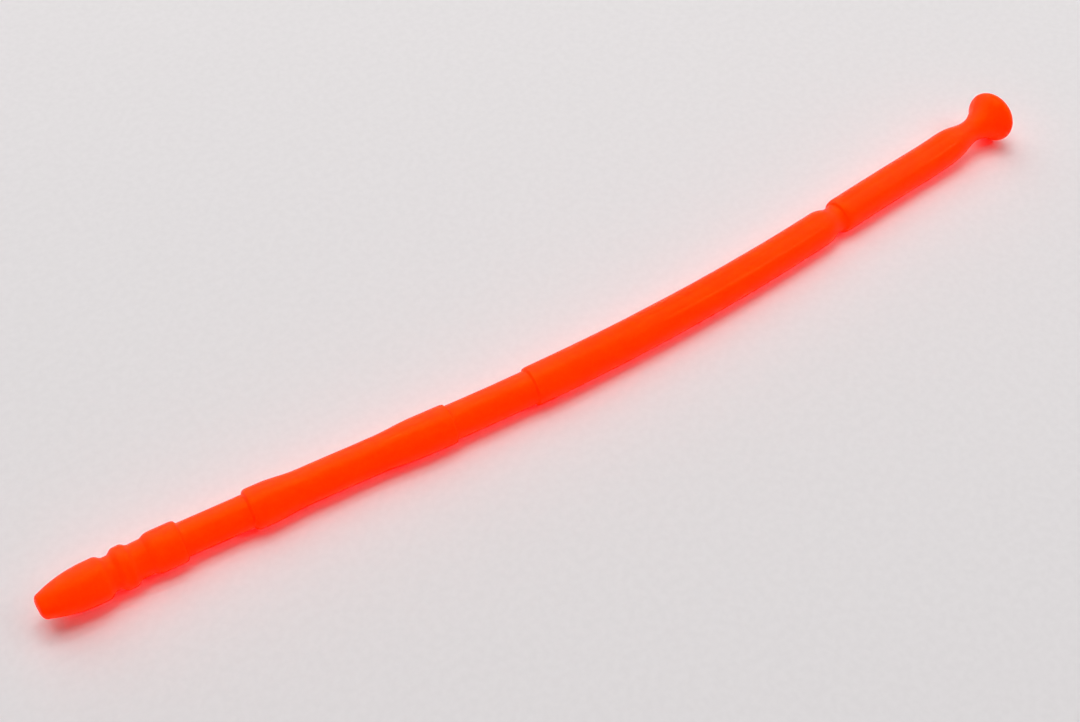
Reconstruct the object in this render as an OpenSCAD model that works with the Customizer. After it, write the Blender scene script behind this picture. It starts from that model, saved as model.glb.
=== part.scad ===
// Soft plastic worm: one floppy moulding with a bullet nose, a bead ring, a collar, a fore body,
// a long main body, a rear body and a flared tail bulb, joined by thinner shanks, grooves and necks.
// Stations run along the worm's own axis from the tip of the nose. The worm lies on z = 0.

/* [Nose] */
// Length of the nose, from its blunt tip to its rear lip
nose_len = 9; // [8:0.05:12]
// Greatest diameter of the nose
nose_d = 5.9; // [5.5:0.1:6.6]
// Diameter of the flat spot at the tip
tip_d = 2.9; // [2:0.1:3.4]
// Length of the curved front of the nose
nose_curve_len = 7.2; // [5:0.1:7.5]

/* [Head ring] */
// Length of the groove behind the nose
nose_groove_len = 1.5; // [1.3:0.1:3]
// Diameter of the groove behind the nose
nose_groove_d = 4.75; // [3.8:0.05:5.2]
// Length of the bead ring
ring_len = 2; // [1.5:0.05:4]
// Diameter of the bead ring
ring_d = 5.9; // [5.5:0.1:6.5]
// Length of each of the ring's two sloping sides
ring_side_len = 0.6; // [0.4:0.05:0.7]
// Length of the groove behind the ring
ring_groove_len = 2.6; // [1.6:0.05:4]
// Diameter of the groove behind the ring
ring_groove_d = 4.9; // [3.8:0.1:5.2]

/* [Collar] */
// Length of the collar
collar_len = 4.2; // [3.5:0.05:8]
// Diameter of the collar
collar_d = 5.75; // [5.5:0.05:6.5]
// Length of the collar's tapered front shoulder
collar_ramp_len = 1.05; // [0.6:0.05:2]

/* [Front shank] */
// Length of the shank between the collar and the fore body
front_shank_len = 9.35; // [6:0.05:14]
// Diameter of that shank
front_shank_d = 4.7; // [4:0.1:5.1]

/* [Fore body] */
// Length of the front swell, with its ease down to the waist
fore_front_len = 7.6; // [5:0.1:10]
// Diameter of the front swell
fore_front_d = 5.75; // [5.5:0.05:6.4]
// Length of the waist
fore_waist_len = 11; // [8:0.1:14]
// Diameter of the waist
fore_waist_d = 5.05; // [4.6:0.05:5.4]
// Length of the rear swell, with its ease up from the waist
fore_rear_len = 10.6; // [7:0.1:14]
// Diameter of the rear swell
fore_rear_d = 5.7; // [5.5:0.05:6.4]

/* [Middle shank] */
// Length of the shank between the fore body and the main body
middle_shank_len = 12.7; // [8:0.05:18]
// Diameter of that shank at the fore body
middle_shank_front_d = 5; // [4.4:0.1:5.3]
// Diameter of that shank at the main body
middle_shank_rear_d = 5; // [4.4:0.1:5.2]

/* [Main body] */
// Length of the front third, up to the front bend
main_front_len = 15; // [8:0.5:24]
// Length of the middle third, between the two bends
main_middle_len = 14; // [8:0.5:24]
// Length of the rear third, behind the rear bend
main_rear_len = 14.45; // [8:0.05:24]
// Length of each of the two stretches that bend
main_bend_len = 5.5; // [4.5:0.1:8]
// Diameter at the front step
main_front_d = 5.7; // [5.5:0.1:6.2]
// Diameter before the rear groove
main_rear_d = 5.4; // [5.2:0.1:5.9]
// Length over which the rear end rounds down to the groove
main_tail_off_len = 2; // [1:0.1:4]

/* [Rear body] */
// Length of the groove in front of the rear body
rear_groove_len = 2.2; // [1.5:0.1:4]
// Diameter at the bottom of that groove
rear_groove_d = 4.1; // [3.6:0.05:4.6]
// Length of the rear body
rear_body_len = 26.7; // [18:0.05:36]
// Diameter of the rear body
rear_body_d = 5.4; // [5.1:0.1:6]
// Length over which the rear body narrows towards the tail neck
rear_taper_len = 3.8; // [2.5:0.1:7]

/* [Tail] */
// Length of the tail neck
tail_neck_len = 5.1; // [3.2:0.1:6]
// Least diameter of the tail neck
tail_neck_d = 3.65; // [3:0.05:4]
// Length of the tail bulb
tail_bulb_len = 4.1; // [3.5:0.05:9]
// Diameter of the tail bulb
tail_bulb_d = 8.05; // [6.5:0.05:10]

/* [Edges] */
// Length of the rounding on each step and lip
edge_len = 0.7; // [0.3:0.05:0.8]
// Fillet where a shank or a groove meets a step
root_fillet = 0.25; // [0.1:0.05:0.3]
// Length of the softer fillets beside the head ring
shoulder_len = 0.55; // [0.3:0.05:0.6]
// Height that those fillets have gained where their groove ends
shoulder_rise = 0.25; // [0.1:0.05:0.3]
// Rounding at the rim of the blunt tip
tip_edge = 0.8; // [0.2:0.05:0.9]

/* [Lie of the worm] */
// Turn along the nose, in degrees
nose_turn = 0.9; // [-12:0.1:12]
// Turn from the nose groove to the collar, in degrees
head_turn = -6.1; // [-12:0.1:12]
// Turn of the front shank and the fore body, in degrees
fore_turn = -0.6; // [-12:0.1:12]
// Turn of the middle shank and the main body, in degrees
main_turn = 10.7; // [-20:0.1:20]
// Turn at the rear groove, in degrees
groove_turn = -0.2; // [-10:0.1:10]
// Turn of the rear body, in degrees
rear_turn = -2.5; // [-12:0.1:12]
// Turn of the tail neck and the bulb, in degrees
tail_turn = 3.8; // [-12:0.1:12]
// Lift of the nose tip
nose_lift = 0.95; // [0:0.05:1.5]
// Length over which the nose lifts
nose_lift_len = 13; // [5:0.5:20]
// Length over which the tail climbs onto its bulb
tail_climb_len = 16; // [8:0.5:30]

/* [Smoothness] */
// Sides of each cross-section
sides = 36; // [24:4:48]
// Spans in each rounded edge
edge_spans = 4; // [3:1:8]
// Longest gap between cross-sections
ring_gap = 2.2; // [1:0.1:3]

/* [Hidden] */

worm_orange = [1.0, 0.22, 0.02];

// Stations where one section ends and the next begins
nose_end = nose_len;
nose_groove_end = nose_end + nose_groove_len;
ring_end = nose_groove_end + ring_len;
ring_groove_end = ring_end + ring_groove_len;
collar_end = ring_groove_end + collar_len;
front_shank_end = collar_end + front_shank_len;
fore_front_end = front_shank_end + fore_front_len;
fore_waist_end = fore_front_end + fore_waist_len;
fore_rear_end = fore_waist_end + fore_rear_len;
middle_shank_end = fore_rear_end + middle_shank_len;
main_front_end = middle_shank_end + main_front_len;
front_bend_end = main_front_end + main_bend_len;
main_middle_end = front_bend_end + main_middle_len;
rear_bend_end = main_middle_end + main_bend_len;
main_rear_end = rear_bend_end + main_rear_len;
rear_groove_end = main_rear_end + rear_groove_len;
rear_body_end = rear_groove_end + rear_body_len;
tail_neck_end = rear_body_end + tail_neck_len;
worm_len = tail_neck_end + tail_bulb_len;

// Radii
nose_r = nose_d / 2;
tip_r = tip_d / 2;
nose_groove_r = nose_groove_d / 2;
ring_r = ring_d / 2;
ring_groove_r = ring_groove_d / 2;
collar_r = collar_d / 2;
front_shank_r = front_shank_d / 2;
fore_front_r = fore_front_d / 2;
fore_waist_r = fore_waist_d / 2;
fore_rear_r = fore_rear_d / 2;
middle_front_r = middle_shank_front_d / 2;
middle_rear_r = middle_shank_rear_d / 2;
main_front_r = main_front_d / 2;
main_rear_r = main_rear_d / 2;
rear_groove_r = rear_groove_d / 2;
rear_body_r = rear_body_d / 2;
tail_neck_r = tail_neck_d / 2;
tail_bulb_r = tail_bulb_d / 2;

// Halfway down from the main body to the rear groove, and from the rear body to the neck
groove_lip_r = (main_rear_r + rear_groove_r) / 2;
neck_lip_r = (rear_body_r + tail_neck_r) / 2;
// The flare has made this share of the bulb's rise where the bulb begins
flare_share = 0.375;
flare_start_r = tail_neck_r + (tail_bulb_r - tail_neck_r) * flare_share;
// Slopes of the outline where one section hands over to the next
groove_lip_slope = -0.43;
groove_rise_slope = 0.5;
neck_lip_slope = -0.3;
flare_slope = 0.535;
ramp_slope = 0.42;
fillet_slope = 1.2;
shoulder_slope = 0.9;
// Shares of a section's length: the fore body's two crowns, the groove's and neck's least radius
fore_crown_share = 0.25;
rear_crown_share = 0.6;
groove_least_share = 0.61;
neck_least_share = 0.49;
// The rear body's front step is rounder than the other steps by this factor
soft_step = 1.55;
// The bulb is widest at this share of its length, and its rear pole ends in a small flat
bulb_crown_share = 0.57;
// Spans in each long curve
curve_spans = 5;
fillet_spans = 2;
shoulder_spans = 3;
dome_spans = 7;
bulb_pole_r = 0.3;
bulb_crown_at = tail_neck_end + tail_bulb_len * bulb_crown_share;

// ---- Outline: lists of [station, radius] ----

// Quarter ellipse that leaves a step square-on and meets the body flush
function round_up(x, span_len, r0, r1) = [
    for (i = [0 : edge_spans])
        let (a = 90 * i / edge_spans) [x + span_len * (1 - cos(a)), r0 + (r1 - r0) * sin(a)]
];

// The same quarter ellipse at the rear end of a body
function round_down(x, span_len, r0, r1) = [
    for (i = [0 : edge_spans])
        let (a = 90 * i / edge_spans) [x + span_len * sin(a), r1 + (r0 - r1) * cos(a)]
];

// Cubic between two radii, with the outline's slope given at each end
function cubic(x0, r0, slope0, x1, r1, slope1, spans) = let (w = x1 - x0) [
    for (i = [0 : spans])
        let (t = i / spans, u = 1 - t)
            [x0 + w * t, r0 * u * u * (1 + 2 * t) + r1 * t * t * (3 - 2 * t)
                + w * t * u * (slope0 * u - slope1 * t)]
];

// Straight taper, cut often enough to follow the bend of the worm
function taper(x0, r0, x1, r1) = let (spans = max(1, ceil((x1 - x0) / ring_gap))) [
    for (i = [0 : spans]) [x0 + (x1 - x0) * i / spans, r0 + (r1 - r0) * i / spans]
];

// Outlines end to end: each one starts where the last one stopped
function chain(parts, i = 0) = i == len(parts) - 1 ? parts[i]
    : concat([for (k = [0 : len(parts[i]) - 2]) parts[i][k]], chain(parts, i + 1));

// A shank or groove, with a small fillet at each end
function neck(x0, r0, x1, r1) = chain([
    cubic(x0, r0 + root_fillet, -fillet_slope, x0 + root_fillet, r0, 0, fillet_spans),
    taper(x0 + root_fillet, r0, x1 - root_fillet, r1),
    cubic(x1 - root_fillet, r1, 0, x1, r1 + root_fillet, fillet_slope, fillet_spans)
]);

// A groove beside the head ring, with a softer fillet at each end
function soft_groove(x0, r0, x1, slope_out) = chain([
    cubic(x0, r0 + shoulder_rise, -shoulder_slope, x0 + shoulder_len, r0, 0, shoulder_spans),
    taper(x0 + shoulder_len, r0, x1 - shoulder_len, r0),
    cubic(x1 - shoulder_len, r0, 0, x1, r0 + shoulder_rise, slope_out, shoulder_spans)
]);

// Radius of the main body, which tapers evenly from front to rear
function main_r(x) = main_front_r
    + (main_rear_r - main_front_r) * (x - middle_shank_end) / (main_rear_end - middle_shank_end);

// Radius of the bullet curve, which ends on the blunt tip
bullet_rise = nose_r - tip_r;
bullet_arc_r = (nose_curve_len * nose_curve_len + bullet_rise * bullet_rise) / (2 * bullet_rise);
function bullet_r(x) = let (back = nose_curve_len - x)
    nose_r - bullet_arc_r + sqrt(bullet_arc_r * bullet_arc_r - back * back);

nose_outline = let (
    lip = nose_end - min(edge_len, nose_len - nose_curve_len)
) chain([
    round_up(0, tip_edge, tip_r - tip_edge, bullet_r(tip_edge)),
    [for (i = [0 : dome_spans])
        let (x = tip_edge + (nose_curve_len - tip_edge) * (1 - cos(90 * i / dome_spans))) [x, bullet_r(x)]],
    taper(nose_curve_len, nose_r, lip, nose_r),
    cubic(lip, nose_r, 0, nose_end, nose_groove_r + shoulder_rise, -shoulder_slope, shoulder_spans)
]);

ring_outline = let (
    front_r = nose_groove_r + shoulder_rise,
    rear_r = ring_groove_r + shoulder_rise,
    crest = nose_groove_end + ring_side_len,
    crest_end = ring_end - ring_side_len
) chain([
    cubic(nose_groove_end, front_r, shoulder_slope, crest, ring_r, 0, shoulder_spans),
    taper(crest, ring_r, crest_end, ring_r),
    cubic(crest_end, ring_r, 0, ring_end, rear_r, -shoulder_slope, shoulder_spans)
]);

collar_outline = let (
    ramp_end = ring_groove_end + collar_ramp_len,
    lip = collar_end - edge_len
) chain([
    cubic(ring_groove_end, ring_groove_r + shoulder_rise, ramp_slope, ramp_end, collar_r, 0, curve_spans),
    taper(ramp_end, collar_r, lip, collar_r),
    round_down(lip, edge_len, collar_r, front_shank_r + root_fillet)
]);

fore_front_outline = let (
    crown = front_shank_end + edge_len,
    crown_end = crown + (fore_front_len - edge_len) * fore_crown_share
) chain([
    round_up(front_shank_end, edge_len, front_shank_r + root_fillet, fore_front_r),
    taper(crown, fore_front_r, crown_end, fore_front_r),
    cubic(crown_end, fore_front_r, 0, fore_front_end, fore_waist_r, 0, curve_spans)
]);

fore_rear_outline = let (
    lip = fore_rear_end - edge_len,
    crown = fore_waist_end + (fore_rear_len - edge_len) * rear_crown_share
) chain([
    cubic(fore_waist_end, fore_waist_r, 0, crown, fore_rear_r, 0, curve_spans),
    taper(crown, fore_rear_r, lip, fore_rear_r),
    round_down(lip, edge_len, fore_rear_r, middle_front_r + root_fillet)
]);

main_front_outline = let (
    crown = middle_shank_end + edge_len
) chain([
    round_up(middle_shank_end, edge_len, middle_rear_r + root_fillet, main_r(crown)),
    taper(crown, main_r(crown), main_front_end, main_r(main_front_end))
]);

main_rear_outline = let (
    off = main_rear_end - main_tail_off_len
) chain([
    taper(rear_bend_end, main_r(rear_bend_end), off, main_r(off)),
    cubic(off, main_r(off), 0, main_rear_end, groove_lip_r, groove_lip_slope, curve_spans)
]);

rear_groove_outline = let (
    bottom = main_rear_end + rear_groove_len * groove_least_share
) chain([
    cubic(main_rear_end, groove_lip_r, groove_lip_slope, bottom, rear_groove_r, 0, curve_spans),
    cubic(bottom, rear_groove_r, 0, rear_groove_end, rear_groove_r + root_fillet,
        groove_rise_slope, fillet_spans)
]);

rear_body_outline = let (
    crown = rear_groove_end + edge_len * soft_step,
    taper_from = rear_body_end - rear_taper_len
) chain([
    round_up(rear_groove_end, crown - rear_groove_end, rear_groove_r + root_fillet, rear_body_r),
    taper(crown, rear_body_r, taper_from, rear_body_r),
    cubic(taper_from, rear_body_r, 0, rear_body_end, neck_lip_r, neck_lip_slope, curve_spans)
]);

tail_neck_outline = let (
    least = rear_body_end + tail_neck_len * neck_least_share
) chain([
    cubic(rear_body_end, neck_lip_r, neck_lip_slope, least, tail_neck_r, 0, curve_spans),
    cubic(least, tail_neck_r, 0, tail_neck_end, flare_start_r, flare_slope, curve_spans)
]);

tail_bulb_outline = chain([
    cubic(tail_neck_end, flare_start_r, flare_slope, bulb_crown_at, tail_bulb_r, 0, dome_spans),
    [for (i = [0 : dome_spans])
        let (a = 90 * i / dome_spans)
            [bulb_crown_at + (worm_len - bulb_crown_at) * sin(a),
                bulb_pole_r + (tail_bulb_r - bulb_pole_r) * cos(a)]]
]);

// ---- Axis of the worm ----

// Stretches of even curvature, each with its length and its turn
bends = [
    [nose_end, nose_turn],
    [collar_end - nose_end, head_turn],
    [fore_rear_end - collar_end, fore_turn],
    [main_rear_end - fore_rear_end, main_turn],
    [rear_groove_len, groove_turn],
    [rear_body_len, rear_turn],
    [worm_len - rear_body_end, tail_turn]
];

// Total of a list of numbers
function total(v, i = 0) = i >= len(v) ? 0 : v[i] + total(v, i + 1);

// How much of each stretch lies before station x
function used(x) = [
    for (i = [0 : len(bends) - 1])
        let (start = total([for (k = [0 : 1 : i - 1]) bends[k][0]]))
            max(0, i == len(bends) - 1 ? x - start : min(x - start, bends[i][0]))
];

// Turn made before station x, with the nose pointing along -X
function turned(x) = let (u = used(x))
    total([for (i = [0 : len(bends) - 1]) bends[i][1] * u[i] / bends[i][0]]);

// Chord of an arc with this length and turn
straight = 0.001;
function chord(arc_len, turn) = abs(turn) < straight ? arc_len
    : arc_len * sin(turn / 2) / (turn / 2 * PI / 180);

// Plan position of station x, before the worm is squared up to X
function walked(x) = let (
    u = used(x),
    turns = [for (i = [0 : len(bends) - 1]) bends[i][1] * u[i] / bends[i][0]]
) [
    total([for (i = [0 : len(u) - 1])
        chord(u[i], turns[i]) * cos(total([for (k = [0 : 1 : i - 1]) turns[k]]) + turns[i] / 2)]),
    total([for (i = [0 : len(u) - 1])
        chord(u[i], turns[i]) * sin(total([for (k = [0 : 1 : i - 1]) turns[k]]) + turns[i] / 2)])
];

// The straight line from tip to tail runs along X
tail_at = walked(worm_len);
squared_up = -atan2(tail_at[1], tail_at[0]);

function heading(x) = turned(x) + squared_up;

function plan(x) = let (p = walked(x), c = cos(squared_up), s = sin(squared_up))
    [p[0] * c - p[1] * s, p[0] * s + p[1] * c];

// Each thick section lies on the floor, so the axis rises and falls with their radii
supports = [
    [0, nose_r + nose_lift],
    [nose_lift_len, nose_r],
    [collar_end, collar_r],
    [front_shank_end, fore_front_r],
    [fore_rear_end, fore_rear_r],
    [middle_shank_end, main_front_r],
    [main_rear_end, main_rear_r],
    [rear_groove_end, rear_body_r],
    [bulb_crown_at - tail_climb_len, rear_body_r],
    [bulb_crown_at, tail_bulb_r]
];

function smooth(t) = let (u = max(0, min(1, t))) u * u * (3 - 2 * u);

function rest_height(x) = supports[0][1] + total([
    for (i = [1 : len(supports) - 1])
        (supports[i][1] - supports[i - 1][1])
            * smooth((x - supports[i - 1][0]) / (supports[i][0] - supports[i - 1][0]))
]);

// The main body lies on its own even taper
function height(x) = x > middle_shank_end && x < main_rear_end ? main_r(x) : rest_height(x);

// Climb of the axis at station x, in degrees
probe = 0.05;
function climb(x) = atan((height(x + probe) - height(x - probe)) / (2 * probe));

// The worm's box is centred on the origin in plan
box_spans = 60;
box_stations = [for (i = [0 : box_spans]) worm_len * i / box_spans];
low_y = min([for (x = box_stations) plan(x)[1] - main_r(x)]);
high_y = max([plan(0)[1] + tip_r, plan(nose_end)[1] + nose_r, plan(bulb_crown_at)[1] + tail_bulb_r]);
middle_x = (plan(worm_len)[0] + plan(0)[0]) / 2;
middle_y = (low_y + high_y) / 2;

function ring_points(x, r) = let (
    p = plan(x),
    h = heading(x),
    c = climb(x),
    centre = [p[0] - middle_x, p[1] - middle_y, height(x)],
    side = [-sin(h), cos(h), 0],
    up = [-cos(h) * sin(c), -sin(h) * sin(c), cos(c)]
) [
    for (k = [0 : sides - 1])
        centre + r * (cos(360 * k / sides) * side + sin(360 * k / sides) * up)
];

// Solid of an outline swept along the worm's axis, with a flat face at each end
module swept(outline) {
    last = len(outline) - 1;
    points = [for (p = outline) each ring_points(p[0], p[1])];
    front_face = [for (k = [0 : sides - 1]) k];
    rear_face = [for (k = [sides - 1 : -1 : 0]) last * sides + k];
    skin = [
        for (i = [0 : last - 1], k = [0 : sides - 1])
            let (a = i * sides + k, b = i * sides + (k + 1) % sides)
                each [[a, a + sides, b + sides], [a, b + sides, b]]
    ];
    color(worm_orange) polyhedron(points, concat([front_face], skin, [rear_face]));
}

module nose() { swept(nose_outline); }

module nose_groove() {
    swept(soft_groove(nose_end, nose_groove_r, nose_groove_end, shoulder_slope));
}

module ring() { swept(ring_outline); }

module ring_groove() {
    swept(soft_groove(ring_end, ring_groove_r, ring_groove_end, ramp_slope));
}

module collar() { swept(collar_outline); }

module front_shank() { swept(neck(collar_end, front_shank_r, front_shank_end, front_shank_r)); }

module fore_front() { swept(fore_front_outline); }

module fore_waist() { swept(taper(fore_front_end, fore_waist_r, fore_waist_end, fore_waist_r)); }

module fore_rear() { swept(fore_rear_outline); }

module middle_shank() { swept(neck(fore_rear_end, middle_front_r, middle_shank_end, middle_rear_r)); }

module main_front() { swept(main_front_outline); }

// A plain stretch of the main body's even taper
module main_stretch(x0, x1) { swept(taper(x0, main_r(x0), x1, main_r(x1))); }

module front_bend() { main_stretch(main_front_end, front_bend_end); }

module main_middle() { main_stretch(front_bend_end, main_middle_end); }

module rear_bend() { main_stretch(main_middle_end, rear_bend_end); }

module main_rear() { swept(main_rear_outline); }

module rear_groove() { swept(rear_groove_outline); }

module rear_body() { swept(rear_body_outline); }

module tail_neck() { swept(tail_neck_outline); }

module tail_bulb() { swept(tail_bulb_outline); }

nose();
nose_groove();
ring();
ring_groove();
collar();
front_shank();
fore_front();
fore_waist();
fore_rear();
middle_shank();
main_front();
front_bend();
main_middle();
rear_bend();
main_rear();
rear_groove();
rear_body();
tail_neck();
tail_bulb();
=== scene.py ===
"""A soft plastic fishing worm, moulded in one piece of fluorescent orange soft plastic.

The skin is one smooth tube, swept from the worm's outline along its bent, rising axis. It is cut
into eighteen lengths, each running from one body of the frame to the next.
"""

import math

import bpy
from mathutils import Matrix, Vector, noise


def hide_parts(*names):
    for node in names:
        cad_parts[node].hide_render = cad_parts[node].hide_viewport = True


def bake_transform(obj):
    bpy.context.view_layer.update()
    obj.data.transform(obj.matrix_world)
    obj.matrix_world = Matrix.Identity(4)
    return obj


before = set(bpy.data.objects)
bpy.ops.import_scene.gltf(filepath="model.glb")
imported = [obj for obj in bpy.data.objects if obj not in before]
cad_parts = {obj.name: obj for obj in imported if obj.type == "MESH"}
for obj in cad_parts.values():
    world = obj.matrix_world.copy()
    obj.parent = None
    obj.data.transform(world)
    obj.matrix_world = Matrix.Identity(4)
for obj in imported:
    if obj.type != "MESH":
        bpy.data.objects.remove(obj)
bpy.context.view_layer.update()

MM = 0.001

# ---------------------------------------------------------------- the worm's sections, in mm

TIP_R, TIP_EDGE = 1.45, 0.8
NOSE_LEN, NOSE_R, NOSE_CURVE_LEN = 9.0, 2.95, 7.2
NOSE_GROOVE_LEN, NOSE_GROOVE_R = 1.5, 2.375
RING_LEN, RING_R, RING_SIDE = 2.0, 2.95, 0.6
RING_GROOVE_LEN, RING_GROOVE_R = 2.6, 2.45
COLLAR_LEN, COLLAR_R, COLLAR_RAMP_LEN, COLLAR_RAMP_SLOPE = 4.2, 2.875, 1.05, 0.42
FRONT_SHANK_LEN, FRONT_SHANK_R = 9.35, 2.35
FORE_FRONT_LEN, FORE_FRONT_R, FORE_CROWN_SHARE = 7.6, 2.875, 0.25
FORE_WAIST_LEN, FORE_WAIST_R = 11.0, 2.525
FORE_REAR_LEN, FORE_REAR_R, REAR_CROWN_SHARE = 10.6, 2.85, 0.6
MIDDLE_SHANK_LEN, MIDDLE_FRONT_R, MIDDLE_REAR_R = 12.7, 2.5, 2.5
MAIN_FRONT_LEN, MAIN_MIDDLE_LEN, MAIN_REAR_LEN, MAIN_BEND_LEN = 15.0, 14.0, 14.45, 5.5
MAIN_FRONT_R, MAIN_REAR_R, MAIN_LIP_LEN, MAIN_LIP_SLOPE = 2.85, 2.7, 2.0, -0.43
REAR_GROOVE_LEN, REAR_GROOVE_R, GROOVE_LEAST_SHARE, GROOVE_RISE_SLOPE = 2.2, 2.05, 0.61, 0.5
REAR_BODY_LEN, REAR_BODY_R, REAR_EDGE, REAR_TAPER_LEN = 26.7, 2.7, 1.085, 3.8
TAIL_NECK_LEN, TAIL_NECK_R, NECK_LIP_SLOPE, NECK_LEAST_SHARE = 5.1, 1.825, -0.3, 0.49
TAIL_BULB_LEN, TAIL_BULB_R, BULB_CROWN_SHARE, BULB_POLE_R = 4.1, 4.025, 0.57, 0.3
FLARE_SHARE, FLARE_SLOPE = 0.375, 0.535

# Every step is rounded over EDGE and runs into its neck through a small fillet
EDGE, ROOT, ROOT_SLOPE = 0.7, 0.25, 1.2
# The shoulders of the ring and its two grooves are softer
SOFT_ROOT, SOFT_RISE, SOFT_SLOPE = 0.55, 0.25, 0.9

# Stations where one section ends and the next begins
nose_end = NOSE_LEN
nose_groove_end = nose_end + NOSE_GROOVE_LEN
ring_end = nose_groove_end + RING_LEN
ring_groove_end = ring_end + RING_GROOVE_LEN
collar_end = ring_groove_end + COLLAR_LEN
front_shank_end = collar_end + FRONT_SHANK_LEN
fore_front_end = front_shank_end + FORE_FRONT_LEN
fore_waist_end = fore_front_end + FORE_WAIST_LEN
fore_rear_end = fore_waist_end + FORE_REAR_LEN
middle_shank_end = fore_rear_end + MIDDLE_SHANK_LEN
main_front_end = middle_shank_end + MAIN_FRONT_LEN
front_bend_end = main_front_end + MAIN_BEND_LEN
main_middle_end = front_bend_end + MAIN_MIDDLE_LEN
rear_bend_end = main_middle_end + MAIN_BEND_LEN
main_rear_end = rear_bend_end + MAIN_REAR_LEN
rear_groove_end = main_rear_end + REAR_GROOVE_LEN
rear_body_end = rear_groove_end + REAR_BODY_LEN
tail_neck_end = rear_body_end + TAIL_NECK_LEN
worm_len = tail_neck_end + TAIL_BULB_LEN
bulb_crown_at = tail_neck_end + TAIL_BULB_LEN * BULB_CROWN_SHARE

# ---------------------------------------------------------------- outline

# Rings on a quarter round and the fewest on an eased stretch, and the most mm between two rings
ROUND_STEPS, LEAST_STEPS = 9, 4
CURVE_SPAN, TAPER_SPAN = 0.22, 0.45


class Outline:
    """The worm's radius along its length, drawn from the nose backwards as (station, radius)."""

    def __init__(self, radius):
        self.points = [(0.0, radius)]

    def draw(self, length, steps, place):
        """Adds a stretch: place(t) gives its share of the length and its radius at t, from 0 to 1."""
        start = self.points[-1][0]
        for i in range(1, steps + 1):
            share, radius = place(i / steps)
            self.points.append((start + length * share, radius))

    def round_up(self, length, radius):
        """A quarter ellipse that leaves a step square-on and meets the body flush."""
        low, quarter = self.points[-1][1], math.pi / 2
        self.draw(length, ROUND_STEPS, lambda t: (
            1 - math.cos(quarter * t), low + (radius - low) * math.sin(quarter * t)))

    def round_down(self, length, radius):
        """The same quarter ellipse at the rear end of a body."""
        high, quarter = self.points[-1][1], math.pi / 2
        self.draw(length, ROUND_STEPS, lambda t: (
            math.sin(quarter * t), radius + (high - radius) * math.cos(quarter * t)))

    def ease(self, length, radius, slope_in=0.0, slope_out=0.0):
        """A cubic to a new radius, with the outline's slope given at each end."""
        first = self.points[-1][1]
        self.draw(length, max(LEAST_STEPS, math.ceil(length / CURVE_SPAN)), lambda t: (
            t, first * (1 - t) ** 2 * (1 + 2 * t) + radius * t * t * (3 - 2 * t)
            + length * t * (1 - t) * (slope_in * (1 - t) - slope_out * t)))

    def taper(self, length, radius):
        """A straight run to a new radius."""
        first = self.points[-1][1]
        self.draw(length, math.ceil(length / TAPER_SPAN), lambda t: (
            t, first + (radius - first) * t))

    def neck(self, length, front_radius, rear_radius):
        """A shank or groove, with a small fillet at each end."""
        self.ease(ROOT, front_radius, -ROOT_SLOPE, 0)
        self.taper(length - 2 * ROOT, rear_radius)
        self.ease(ROOT, rear_radius + ROOT, 0, ROOT_SLOPE)

    def soft_groove(self, length, radius, slope_out):
        """A groove between two softly moulded shoulders."""
        self.ease(SOFT_ROOT, radius, -SOFT_SLOPE, 0)
        self.taper(length - 2 * SOFT_ROOT, radius)
        self.ease(SOFT_ROOT, radius + SOFT_RISE, 0, slope_out)


def main_r(x):
    """Radius of the main body, which tapers evenly from front to rear."""
    share = (x - middle_shank_end) / (main_rear_end - middle_shank_end)
    return MAIN_FRONT_R + (MAIN_REAR_R - MAIN_FRONT_R) * share


def bullet_r(x):
    """Radius of the nose's bullet curve, an arc that runs out at NOSE_CURVE_LEN."""
    rise = NOSE_R - TIP_R
    arc_r = (NOSE_CURVE_LEN ** 2 + rise ** 2) / (2 * rise)
    return NOSE_R - arc_r + math.sqrt(arc_r ** 2 - (NOSE_CURVE_LEN - x) ** 2)


def draw_nose(line):
    line.round_up(TIP_EDGE, bullet_r(TIP_EDGE))
    curve_len = NOSE_CURVE_LEN - TIP_EDGE
    line.draw(curve_len, math.ceil(curve_len / CURVE_SPAN), lambda t: (
        t, bullet_r(TIP_EDGE + curve_len * t)))
    line.taper(NOSE_LEN - NOSE_CURVE_LEN - EDGE, NOSE_R)
    line.ease(EDGE, NOSE_GROOVE_R + SOFT_RISE, 0, -SOFT_SLOPE)


def draw_rings(line):
    line.soft_groove(NOSE_GROOVE_LEN, NOSE_GROOVE_R, SOFT_SLOPE)
    line.ease(RING_SIDE, RING_R, SOFT_SLOPE, 0)
    line.taper(RING_LEN - 2 * RING_SIDE, RING_R)
    line.ease(RING_SIDE, RING_GROOVE_R + SOFT_RISE, 0, -SOFT_SLOPE)
    line.soft_groove(RING_GROOVE_LEN, RING_GROOVE_R, COLLAR_RAMP_SLOPE)


def draw_collar(line):
    line.ease(COLLAR_RAMP_LEN, COLLAR_R, COLLAR_RAMP_SLOPE, 0)
    line.taper(COLLAR_LEN - COLLAR_RAMP_LEN - EDGE, COLLAR_R)
    line.round_down(EDGE, FRONT_SHANK_R + ROOT)
    line.neck(FRONT_SHANK_LEN, FRONT_SHANK_R, FRONT_SHANK_R)


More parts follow.
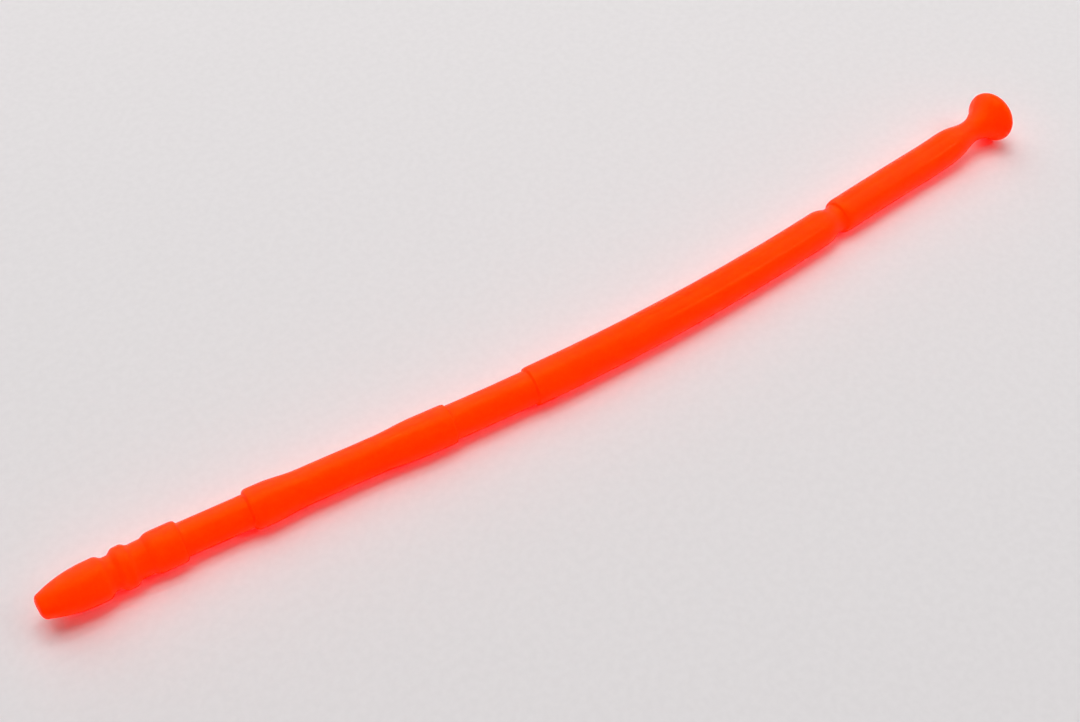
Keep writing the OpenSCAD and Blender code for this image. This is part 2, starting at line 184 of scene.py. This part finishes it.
def draw_fore_body(line):
    crown_len = (FORE_FRONT_LEN - EDGE) * FORE_CROWN_SHARE
    line.round_up(EDGE, FORE_FRONT_R)
    line.taper(crown_len, FORE_FRONT_R)
    line.ease(FORE_FRONT_LEN - EDGE - crown_len, FORE_WAIST_R)
    line.taper(FORE_WAIST_LEN, FORE_WAIST_R)
    swell_len = (FORE_REAR_LEN - EDGE) * REAR_CROWN_SHARE
    line.ease(swell_len, FORE_REAR_R)
    line.taper(FORE_REAR_LEN - EDGE - swell_len, FORE_REAR_R)
    line.round_down(EDGE, MIDDLE_FRONT_R + ROOT)
    line.neck(MIDDLE_SHANK_LEN, MIDDLE_FRONT_R, MIDDLE_REAR_R)


def draw_main_body(line):
    crown, lip = middle_shank_end + EDGE, main_rear_end - MAIN_LIP_LEN
    lip_r = (MAIN_REAR_R + REAR_GROOVE_R) / 2
    line.round_up(EDGE, main_r(crown))
    line.taper(lip - crown, main_r(lip))
    line.ease(MAIN_LIP_LEN, lip_r, 0, MAIN_LIP_SLOPE)
    line.ease(REAR_GROOVE_LEN * GROOVE_LEAST_SHARE, REAR_GROOVE_R, MAIN_LIP_SLOPE, 0)
    line.ease(REAR_GROOVE_LEN * (1 - GROOVE_LEAST_SHARE), REAR_GROOVE_R + ROOT, 0, GROOVE_RISE_SLOPE)


def draw_tail(line):
    lip_r = (REAR_BODY_R + TAIL_NECK_R) / 2
    flare_r = TAIL_NECK_R + (TAIL_BULB_R - TAIL_NECK_R) * FLARE_SHARE
    line.round_up(REAR_EDGE, REAR_BODY_R)
    line.taper(REAR_BODY_LEN - REAR_EDGE - REAR_TAPER_LEN, REAR_BODY_R)
    line.ease(REAR_TAPER_LEN, lip_r, 0, NECK_LIP_SLOPE)
    line.ease(TAIL_NECK_LEN * NECK_LEAST_SHARE, TAIL_NECK_R, NECK_LIP_SLOPE, 0)
    line.ease(TAIL_NECK_LEN * (1 - NECK_LEAST_SHARE), flare_r, 0, FLARE_SLOPE)
    line.ease(bulb_crown_at - tail_neck_end, TAIL_BULB_R, FLARE_SLOPE, 0)
    quarter = math.pi / 2
    line.draw(worm_len - bulb_crown_at, 2 * ROUND_STEPS, lambda t: (
        math.sin(quarter * t), BULB_POLE_R + (TAIL_BULB_R - BULB_POLE_R) * math.cos(quarter * t)))


def worm_outline():
    line = Outline(TIP_R - TIP_EDGE)
    for draw_part in (draw_nose, draw_rings, draw_collar, draw_fore_body, draw_main_body, draw_tail):
        draw_part(line)
    return line.points


# ---------------------------------------------------------------- axis

# Stretches of even curvature: where each ends, and its turn in degrees
BENDS = (
    (nose_end, 0.9),
    (collar_end, -6.1),
    (fore_rear_end, -0.6),
    (main_rear_end, 10.7),
    (rear_groove_end, -0.2),
    (rear_body_end, -2.5),
    (worm_len, 3.8),
)

# Each thick section lies on the floor, so the axis rises and falls with their radii
NOSE_LIFT, NOSE_LIFT_LEN, TAIL_CLIMB_LEN = 0.95, 13.0, 16.0
SUPPORTS = (
    (0.0, NOSE_R + NOSE_LIFT),
    (NOSE_LIFT_LEN, NOSE_R),
    (collar_end, COLLAR_R),
    (front_shank_end, FORE_FRONT_R),
    (fore_rear_end, FORE_REAR_R),
    (middle_shank_end, MAIN_FRONT_R),
    (main_rear_end, MAIN_REAR_R),
    (rear_groove_end, REAR_BODY_R),
    (bulb_crown_at - TAIL_CLIMB_LEN, REAR_BODY_R),
    (bulb_crown_at, TAIL_BULB_R),
)
# Half turns in radians that count as none, the reach in mm over which the climb is measured, and the
# number of places that the worm's width is measured at
STRAIGHT, PROBE, CENTRING_STEPS = 1e-6, 0.05, 60


def walked(x):
    """Plan position and heading of station x, with the nose at the origin and pointing along -X."""
    px = py = turned = start = 0.0
    for end, turn in BENDS:
        used = max(0.0, min(x, end) - start)
        if end == worm_len:
            used = max(0.0, x - start)  # the last bend goes on past the tail
        half = math.radians(turn) * used / (end - start) / 2
        chord = used if abs(half) < STRAIGHT else used * math.sin(half) / half
        px += chord * math.cos(turned + half)
        py += chord * math.sin(turned + half)
        turned += 2 * half
        start = end
    return px, py, turned


def plan(x):
    """Plan position of station x, once the line from tip to tail runs along X."""
    px, py, _ = walked(x)
    return px * math.cos(SQUARED_UP) - py * math.sin(SQUARED_UP), (
        px * math.sin(SQUARED_UP) + py * math.cos(SQUARED_UP))


def eased(t):
    t = max(0.0, min(1.0, t))
    return t * t * (3 - 2 * t)


def height(x):
    """Height of the axis: the main body lies on its own taper, the rest on the supports."""
    if middle_shank_end < x < main_rear_end:
        return main_r(x)
    rise = SUPPORTS[0][1]
    for (x0, h0), (x1, h1) in zip(SUPPORTS, SUPPORTS[1:]):
        rise += (h1 - h0) * eased((x - x0) / (x1 - x0))
    return rise


def centring():
    """Plan shift that centres the worm's box on the origin, as the CAD model does."""
    places = [worm_len * i / CENTRING_STEPS for i in range(CENTRING_STEPS + 1)]
    low = min(plan(x)[1] - main_r(x) for x in places)
    high = max(plan(0)[1] + TIP_R, plan(nose_end)[1] + NOSE_R, plan(bulb_crown_at)[1] + TAIL_BULB_R)
    return (plan(worm_len)[0] + plan(0)[0]) / 2, (low + high) / 2


SQUARED_UP = -math.atan2(walked(worm_len)[1], walked(worm_len)[0])
MIDDLE = centring()


def axis(x):
    """Centre, side and up of the ring at station x, in mm."""
    px, py = plan(x)
    heading = walked(x)[2] + SQUARED_UP
    climb = math.atan((height(x + PROBE) - height(x - PROBE)) / (2 * PROBE))
    ahead = Vector((math.cos(heading), math.sin(heading), 0))
    centre = Vector((px - MIDDLE[0], py - MIDDLE[1], height(x)))
    side = Vector((-ahead.y, ahead.x, 0))
    up = Vector((0, 0, math.cos(climb))) - ahead * math.sin(climb)
    return centre, side, up


# ---------------------------------------------------------------- skin

# Points round a ring, and the depth and width in mm of the skin's slow waves and fine pores
SIDES = 96
WAVE_DEPTH, WAVE_LEN = 0.022, 5.0
PORE_DEPTH, PORE_LEN = 0.007, 0.9


def relief(point):
    """How far the soft plastic stands off its moulded outline, from slow waves and fine pores."""
    slow = noise.noise(point / WAVE_LEN)
    fine = noise.noise(point / PORE_LEN)
    return WAVE_DEPTH * slow + PORE_DEPTH * fine


def ring_of(x, radius):
    """The skin's points round station x, in mm."""
    centre, side, up = axis(x)
    points = []
    for k in range(SIDES):
        turn = 2 * math.pi * k / SIDES
        out = side * math.cos(turn) + up * math.sin(turn)
        point = centre + out * radius
        points.append(point + out * relief(point))
    return points


def tube_faces(first, last, row):
    """Faces between rings first to last, where row(i) is the index of ring i's first point."""
    return [
        (row(i) + k, row(i + 1) + k, row(i + 1) + (k + 1) % SIDES, row(i) + (k + 1) % SIDES)
        for i in range(first, last) for k in range(SIDES)
    ]


def cap_faces(ring_start, pole, outward):
    """A fan from the pole to the ring that starts at index ring_start."""
    fan = [(pole, ring_start + k, ring_start + (k + 1) % SIDES) for k in range(SIDES)]
    return fan if outward else [tuple(reversed(face)) for face in fan]


class Skin:
    """The whole worm's skin: its points and its smooth normals, ring by ring."""

    def __init__(self):
        outline = worm_outline()
        self.stations = [x for x, _ in outline]
        self.points = [p * MM for x, radius in outline for p in ring_of(x, radius)]
        last = len(outline) - 1
        tip, tail = axis(0)[0] * MM, axis(worm_len)[0] * MM
        self.tip, self.tail = len(self.points), len(self.points) + 1
        self.points += [tip, tail]
        faces = tube_faces(0, last, lambda i: i * SIDES)
        faces += cap_faces(0, self.tip, True) + cap_faces(last * SIDES, self.tail, False)
        whole = bpy.data.meshes.new("whole_skin")
        whole.from_pydata(self.points, [], faces)
        self.normals = [v.normal.copy() for v in whole.vertices]
        bpy.data.meshes.remove(whole)

    def ring_at(self, x):
        """Index of the ring nearest to station x."""
        return min(range(len(self.stations)), key=lambda i: abs(self.stations[i] - x))

    def length(self, name, x0, x1):
        """The skin between stations x0 and x1, as an object of its own."""
        first, last = self.ring_at(x0), self.ring_at(x1)
        kept = list(range(first * SIDES, (last + 1) * SIDES))
        faces = tube_faces(first, last, lambda i: (i - first) * SIDES)
        if first == 0:
            faces += cap_faces(0, len(kept), True)
            kept.append(self.tip)
        if last == len(self.stations) - 1:
            faces += cap_faces((last - first) * SIDES, len(kept), False)
            kept.append(self.tail)
        mesh = bpy.data.meshes.new(name)
        mesh.from_pydata([self.points[i] for i in kept], [], faces)
        mesh.shade_smooth()
        mesh.normals_split_custom_set_from_vertices([self.normals[i] for i in kept])
        piece = bpy.data.objects.new(name, mesh)
        bpy.context.scene.collection.objects.link(piece)
        return piece


# ---------------------------------------------------------------- joints of the skin

# How long a stretch of skin would bend with each flexible section's sideways or up and down turn, in
# mm; the skin is not bent with them
MAIN_ZONE, MIDDLE_ZONE, FORE_ZONE, FRONT_ZONE = 4.0, 6.2, 5.4, 4.4
RING_ZONE, NOSE_ZONE, GROOVE_ZONE, TAIL_ZONE = 2.15, 1.58, 2.3, 3.6
# How far from its end a thick section's skin is cut
FORE_REAR_CUT, FORE_FRONT_CUT, COLLAR_CUT = 2.5, 1.8, 2.1

# From the main body out to each tip: the flexible section with the station where the skin is cut
# across it, then the stiff section beyond it with its own cut, each with its bending stretch
NOSEWARD = (
    ("front_bend", (main_front_end + front_bend_end) / 2, MAIN_ZONE),
    ("main_front", (main_front_end + middle_shank_end) / 2, MAIN_ZONE),
    ("middle_shank", (middle_shank_end + fore_rear_end) / 2, MIDDLE_ZONE),
    ("fore_rear", fore_rear_end - FORE_REAR_CUT, MIDDLE_ZONE),
    ("fore_waist", (fore_waist_end + fore_front_end) / 2, FORE_ZONE),
    ("fore_front", front_shank_end + FORE_FRONT_CUT, FORE_ZONE),
    ("front_shank", (front_shank_end + collar_end) / 2, FRONT_ZONE),
    ("collar", collar_end - COLLAR_CUT, FRONT_ZONE),
    ("ring_groove", (ring_groove_end + ring_end) / 2, RING_ZONE),
    ("ring", (ring_end + nose_groove_end) / 2, RING_ZONE),
    ("nose_groove", (nose_groove_end + nose_end) / 2, NOSE_ZONE),
    ("nose", 0.0, NOSE_ZONE),
)
TAILWARD = (
    ("rear_bend", (main_middle_end + rear_bend_end) / 2, MAIN_ZONE),
    ("main_rear", (rear_bend_end + main_rear_end) / 2, MAIN_ZONE),
    ("rear_groove", main_rear_end + REAR_GROOVE_LEN * GROOVE_LEAST_SHARE, GROOVE_ZONE),
    ("rear_body", (rear_groove_end + rear_body_end) / 2, GROOVE_ZONE),
    ("tail_neck", rear_body_end + TAIL_NECK_LEN * NECK_LEAST_SHARE, TAIL_ZONE),
    ("tail_bulb", worm_len, TAIL_ZONE),
)
ROOT_BODY, ROOT_CUT = "main_middle", (front_bend_end + main_middle_end) / 2
# A length's bending stretch stays this far clear of its cut
CUT_MARGIN = 0.06
# Bodies listed for blending from the outer body back to the inner one; the code treats their skin the
# same as the rest's.
BLENDED_BACK = ("nose_groove",)


def bend_skin(skin, chain, material):
    """Cuts the skin along one chain of bodies into lengths, and hides the chain's CAD parts."""
    body, cut = ROOT_BODY, ROOT_CUT
    for i, (outer, outer_cut, zone) in enumerate(chain):
        piece = skin.length(f"skin_{body}_to_{outer}", min(cut, outer_cut), max(cut, outer_cut))
        piece.data.materials.append(material)
        away = 1 if outer_cut > cut else -1
        flexure_is_outer = i % 2 == 0
        if flexure_is_outer:
            end = outer_cut - away * CUT_MARGIN
            start = end - away * zone
        else:
            start = cut + away * CUT_MARGIN
            end = start + away * zone
        inner_point, outer_point = tuple(axis(start)[0] * MM), tuple(axis(end)[0] * MM)
        if outer in BLENDED_BACK:
            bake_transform(piece)
        else:
            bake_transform(piece)
        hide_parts(outer)
        if i == 0 and chain is NOSEWARD:
            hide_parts(ROOT_BODY)
        body, cut = outer, outer_cut


# ---------------------------------------------------------------- materials

# Soft plastic: base colours from cloudy to clear, roughness from glossy to dull, and scales per metre
DEEP_ORANGE, LIGHT_ORANGE = (1.0, 0.094, 0.0), (1.0, 0.118, 0.0)
CLOUD_SCALE, SPECK_SCALE, CLOUD_SHARE, SPECK_SHARE = 260, 2600, 0.55, 0.45
GLOSS_SCALE, GLOSSY, DULL = 420, 0.13, 0.21
RAMP_STOPS = (0.35, 0.65)
GRAIN_SCALE, GRAIN_STRENGTH, GRAIN_DEPTH = 3200, 0.12, 0.00004
# Scattered light tints the plastic from within, and the emission paints on a red glow that lightens
# the shaded side and reddens the paper in its shadow
PLASTIC = {
    "IOR": 1.45,
    "Specular IOR Level": 0.28,
    "Specular Tint": (1.0, 0.46, 0.02, 1),
    "Subsurface Weight": 0.85,
    "Subsurface Radius": (1.0, 0.45, 0.2),
    "Subsurface Scale": 0.0022,
    # Painted glow: this emission makes the plastic shine red by itself, standing in for light on its
    # shaded side and the paper
    "Emission Color": (1.0, 0.012, 0.0, 1),
    "Emission Strength": 1.05,
}
THROUGH_COLOUR, THROUGH_SHARE = (1.0, 0.02, 0.0, 1), 0.5

PAPER = {"Roughness": 0.9, "Specular IOR Level": 0.1}
PAPER_SCALE, PAPER_DARK, PAPER_LIGHT = 900, (0.70, 0.674, 0.680), (0.72, 0.694, 0.700)
# The backdrop's pale colour, and where the paper fades into it, in metres from the worm
BACKDROP = (0.70, 0.68, 0.685, 1)
FADE_START, FADE_END = 0.45, 1.1


def new_material(name, values):
    """A material with one Principled shader, some of whose inputs are set to values."""
    material = bpy.data.materials.new(name)
    material.use_nodes = True
    shader = material.node_tree.nodes["Principled BSDF"]
    for socket, value in values.items():
        shader.inputs[socket].default_value = value
    return material, material.node_tree, shader


def noise_node(tree, scale, detail):
    """Noise over the object's own coordinates, with its scale per metre."""
    coords = tree.nodes.new("ShaderNodeTexCoord")
    texture = tree.nodes.new("ShaderNodeTexNoise")
    texture.inputs["Scale"].default_value = scale
    texture.inputs["Detail"].default_value = detail
    tree.links.new(coords.outputs["Object"], texture.inputs["Vector"])
    return texture.outputs["Fac"]


def ramp_node(tree, value, low, high):
    """Colour or grey that runs from low to high as value crosses RAMP_STOPS."""
    ramp = tree.nodes.new("ShaderNodeValToRGB")
    for stop, place, colour in zip(ramp.color_ramp.elements, RAMP_STOPS, (low, high)):
        stop.position = place
        stop.color = (*colour, 1)
    tree.links.new(value, ramp.inputs["Fac"])
    return ramp.outputs["Color"]


def math_node(tree, operation, *values):
    """One calculation on numbers and other nodes' outputs."""
    node = tree.nodes.new("ShaderNodeMath")
    node.operation = operation
    for socket, value in zip(node.inputs, values):
        if isinstance(value, float):
            socket.default_value = value
        else:
            tree.links.new(value, socket)
    return node.outputs[0]


def mix_node(tree, first, second):
    """Shows a mix of two shaders, and gives the socket that sets the second one's share."""
    mix = tree.nodes.new("ShaderNodeMixShader")
    tree.links.new(first, mix.inputs[1])
    tree.links.new(second, mix.inputs[2])
    tree.links.new(mix.outputs["Shader"], tree.get_output_node("ALL").inputs["Surface"])
    return mix.inputs["Fac"]


def background_rays(tree):
    """1 for rays that show the backdrop, straight, in gloss or through glass, and 0 for light."""
    path = tree.nodes.new("ShaderNodeLightPath")
    straight_or_gloss = math_node(
        tree, "MAXIMUM", path.outputs["Is Camera Ray"], path.outputs["Is Glossy Ray"])
    return math_node(tree, "MAXIMUM", straight_or_gloss, path.outputs["Is Transmission Ray"])


def soft_plastic():
    """Fluorescent orange soft plastic: a smooth oily skin with faint clouding, a fine grain and a
    painted red glow.
    """
    material, tree, shader = new_material("soft_plastic", PLASTIC)
    cloud = math_node(tree, "MULTIPLY", noise_node(tree, CLOUD_SCALE, 3), CLOUD_SHARE)
    both = math_node(tree, "MULTIPLY_ADD", noise_node(tree, SPECK_SCALE, 2), SPECK_SHARE, cloud)
    colour = ramp_node(tree, both, DEEP_ORANGE, LIGHT_ORANGE)
    tree.links.new(colour, shader.inputs["Base Color"])
    gloss = ramp_node(tree, noise_node(tree, GLOSS_SCALE, 2), (GLOSSY,) * 3, (DULL,) * 3)
    tree.links.new(gloss, shader.inputs["Roughness"])
    bump = tree.nodes.new("ShaderNodeBump")
    bump.inputs["Strength"].default_value = GRAIN_STRENGTH
    bump.inputs["Distance"].default_value = GRAIN_DEPTH
    tree.links.new(noise_node(tree, GRAIN_SCALE, 2), bump.inputs["Height"])
    tree.links.new(bump.outputs["Normal"], shader.inputs["Normal"])
    through = tree.nodes.new("ShaderNodeBsdfTranslucent")
    through.inputs["Color"].default_value = THROUGH_COLOUR
    mix_node(tree, shader.outputs["BSDF"], through.outputs["BSDF"]).default_value = THROUGH_SHARE
    return material


def paper():
    """The pale, slightly warm paper the worm lies on, which fades into the backdrop far away."""
    material, tree, shader = new_material("paper", PAPER)
    colour = ramp_node(tree, noise_node(tree, PAPER_SCALE, 3), PAPER_DARK, PAPER_LIGHT)
    tree.links.new(colour, shader.inputs["Base Color"])
    coords = tree.nodes.new("ShaderNodeTexCoord")
    distance = tree.nodes.new("ShaderNodeVectorMath")
    distance.operation = "LENGTH"
    tree.links.new(coords.outputs["Object"], distance.inputs[0])
    fade = tree.nodes.new("ShaderNodeMapRange")
    fade.inputs["From Min"].default_value = FADE_START
    fade.inputs["From Max"].default_value = FADE_END
    tree.links.new(distance.outputs["Value"], fade.inputs["Value"])
    far = tree.nodes.new("ShaderNodeEmission")
    far.inputs["Color"].default_value = BACKDROP
    seen = math_node(tree, "MULTIPLY", fade.outputs["Result"], background_rays(tree))
    tree.links.new(seen, mix_node(tree, shader.outputs["BSDF"], far.outputs["Emission"]))
    return material


# ---------------------------------------------------------------- floor, light and camera

FLOOR_REACH = 4.0
ROOM_STRENGTH = 0.04
# Each lamp: its name, the two ends of its middle line, the point it faces, its width in metres and
# its radiance
LAMPS = (
    ("back_panel", (-0.55, 0.70, 0.97), (0.5, 0.70, 0.97), (0, 0, 0), 0.97, 2.45),
    ("back_wall", (-0.55, 1.13, 0.41), (0.5, 1.13, 0.41), (0, 0, 0), 0.51, 0.9),
    ("top_panel", (-0.55, 0.08, 1.19), (0.5, 0.08, 1.19), (0, 0, 0), 0.36, 4.0),
    ("tail_panel", (0.9, -0.5, 1.1), (0.9, 0.65, 1.1), (0, 0, 0), 0.8, 1.5),
    ("rear_strip", (0.017, 0.230, 0.6), (0.237, 0.146, 0.6), (0, 0, 0), 0.007, 80),
    ("front_strip", (0.35, -0.342, 0.6), (0.69, -0.50, 0.6), (0.02, 0, 0), 0.010, 95),
)
CAMERA_PLACE = (-0.086837, -0.11715, 0.175725)
CAMERA_DROP, CAMERA_HEADING = 50.556, -33.981
SENSOR_WIDTH, LENS, CLIP_START = 36.0, 53.33, 0.01


def lay_floor():
    mesh = bpy.data.meshes.new("floor")
    corners = [(x * FLOOR_REACH, y * FLOOR_REACH, 0) for x, y in ((-1, -1), (1, -1), (1, 1), (-1, 1))]
    mesh.from_pydata(corners, [], [(0, 1, 2, 3)])
    floor = bpy.data.objects.new("floor", mesh)
    floor.data.materials.append(paper())
    bpy.context.scene.collection.objects.link(floor)


def lamp(name, first, second, target, width, radiance):
    """A strip or panel lamp whose middle line runs from first to second, facing target."""
    first, second = Vector(first), Vector(second)
    middle, across = (first + second) / 2, (second - first).normalized()
    back = middle - Vector(target)
    back = (back - across * back.dot(across)).normalized()
    light = bpy.data.lights.new(name, "AREA")
    light.shape = "RECTANGLE"
    light.size, light.size_y = (second - first).length, width
    light.energy = radiance * math.pi * light.size * light.size_y
    lamp_object = bpy.data.objects.new(name, light)
    lamp_object.matrix_world = Matrix.Translation(middle) @ Matrix(
        (across, back.cross(across), back)).transposed().to_4x4()
    bpy.context.scene.collection.objects.link(lamp_object)


def light_up():
    """The lamps, a weak even light from the room, and the pale backdrop behind the paper."""
    world = bpy.data.worlds.new("soft_room")
    world.use_nodes = True
    tree, room = world.node_tree, world.node_tree.nodes["Background"]
    room.inputs["Color"].default_value = (1.0, 1.0, 1.0, 1)
    room.inputs["Strength"].default_value = ROOM_STRENGTH
    backdrop = tree.nodes.new("ShaderNodeBackground")
    backdrop.inputs["Color"].default_value = BACKDROP
    share = mix_node(tree, room.outputs["Background"], backdrop.outputs["Background"])
    tree.links.new(background_rays(tree), share)
    bpy.context.scene.world = world
    for row in LAMPS:
        lamp(*row)
    bpy.context.scene.view_settings.view_transform = "Standard"


def set_camera():
    camera = bpy.data.cameras.new("camera")
    camera.sensor_width = SENSOR_WIDTH
    camera.lens = LENS
    camera.clip_start = CLIP_START
    camera_object = bpy.data.objects.new("camera", camera)
    camera_object.location = CAMERA_PLACE
    camera_object.rotation_euler = (math.radians(90 - CAMERA_DROP), 0, math.radians(CAMERA_HEADING))
    bpy.context.scene.collection.objects.link(camera_object)
    bpy.context.scene.camera = camera_object


set_camera()
worm_skin = Skin()
worm_material = soft_plastic()
bend_skin(worm_skin, NOSEWARD, worm_material)
bend_skin(worm_skin, TAILWARD, worm_material)
lay_floor()
light_up()
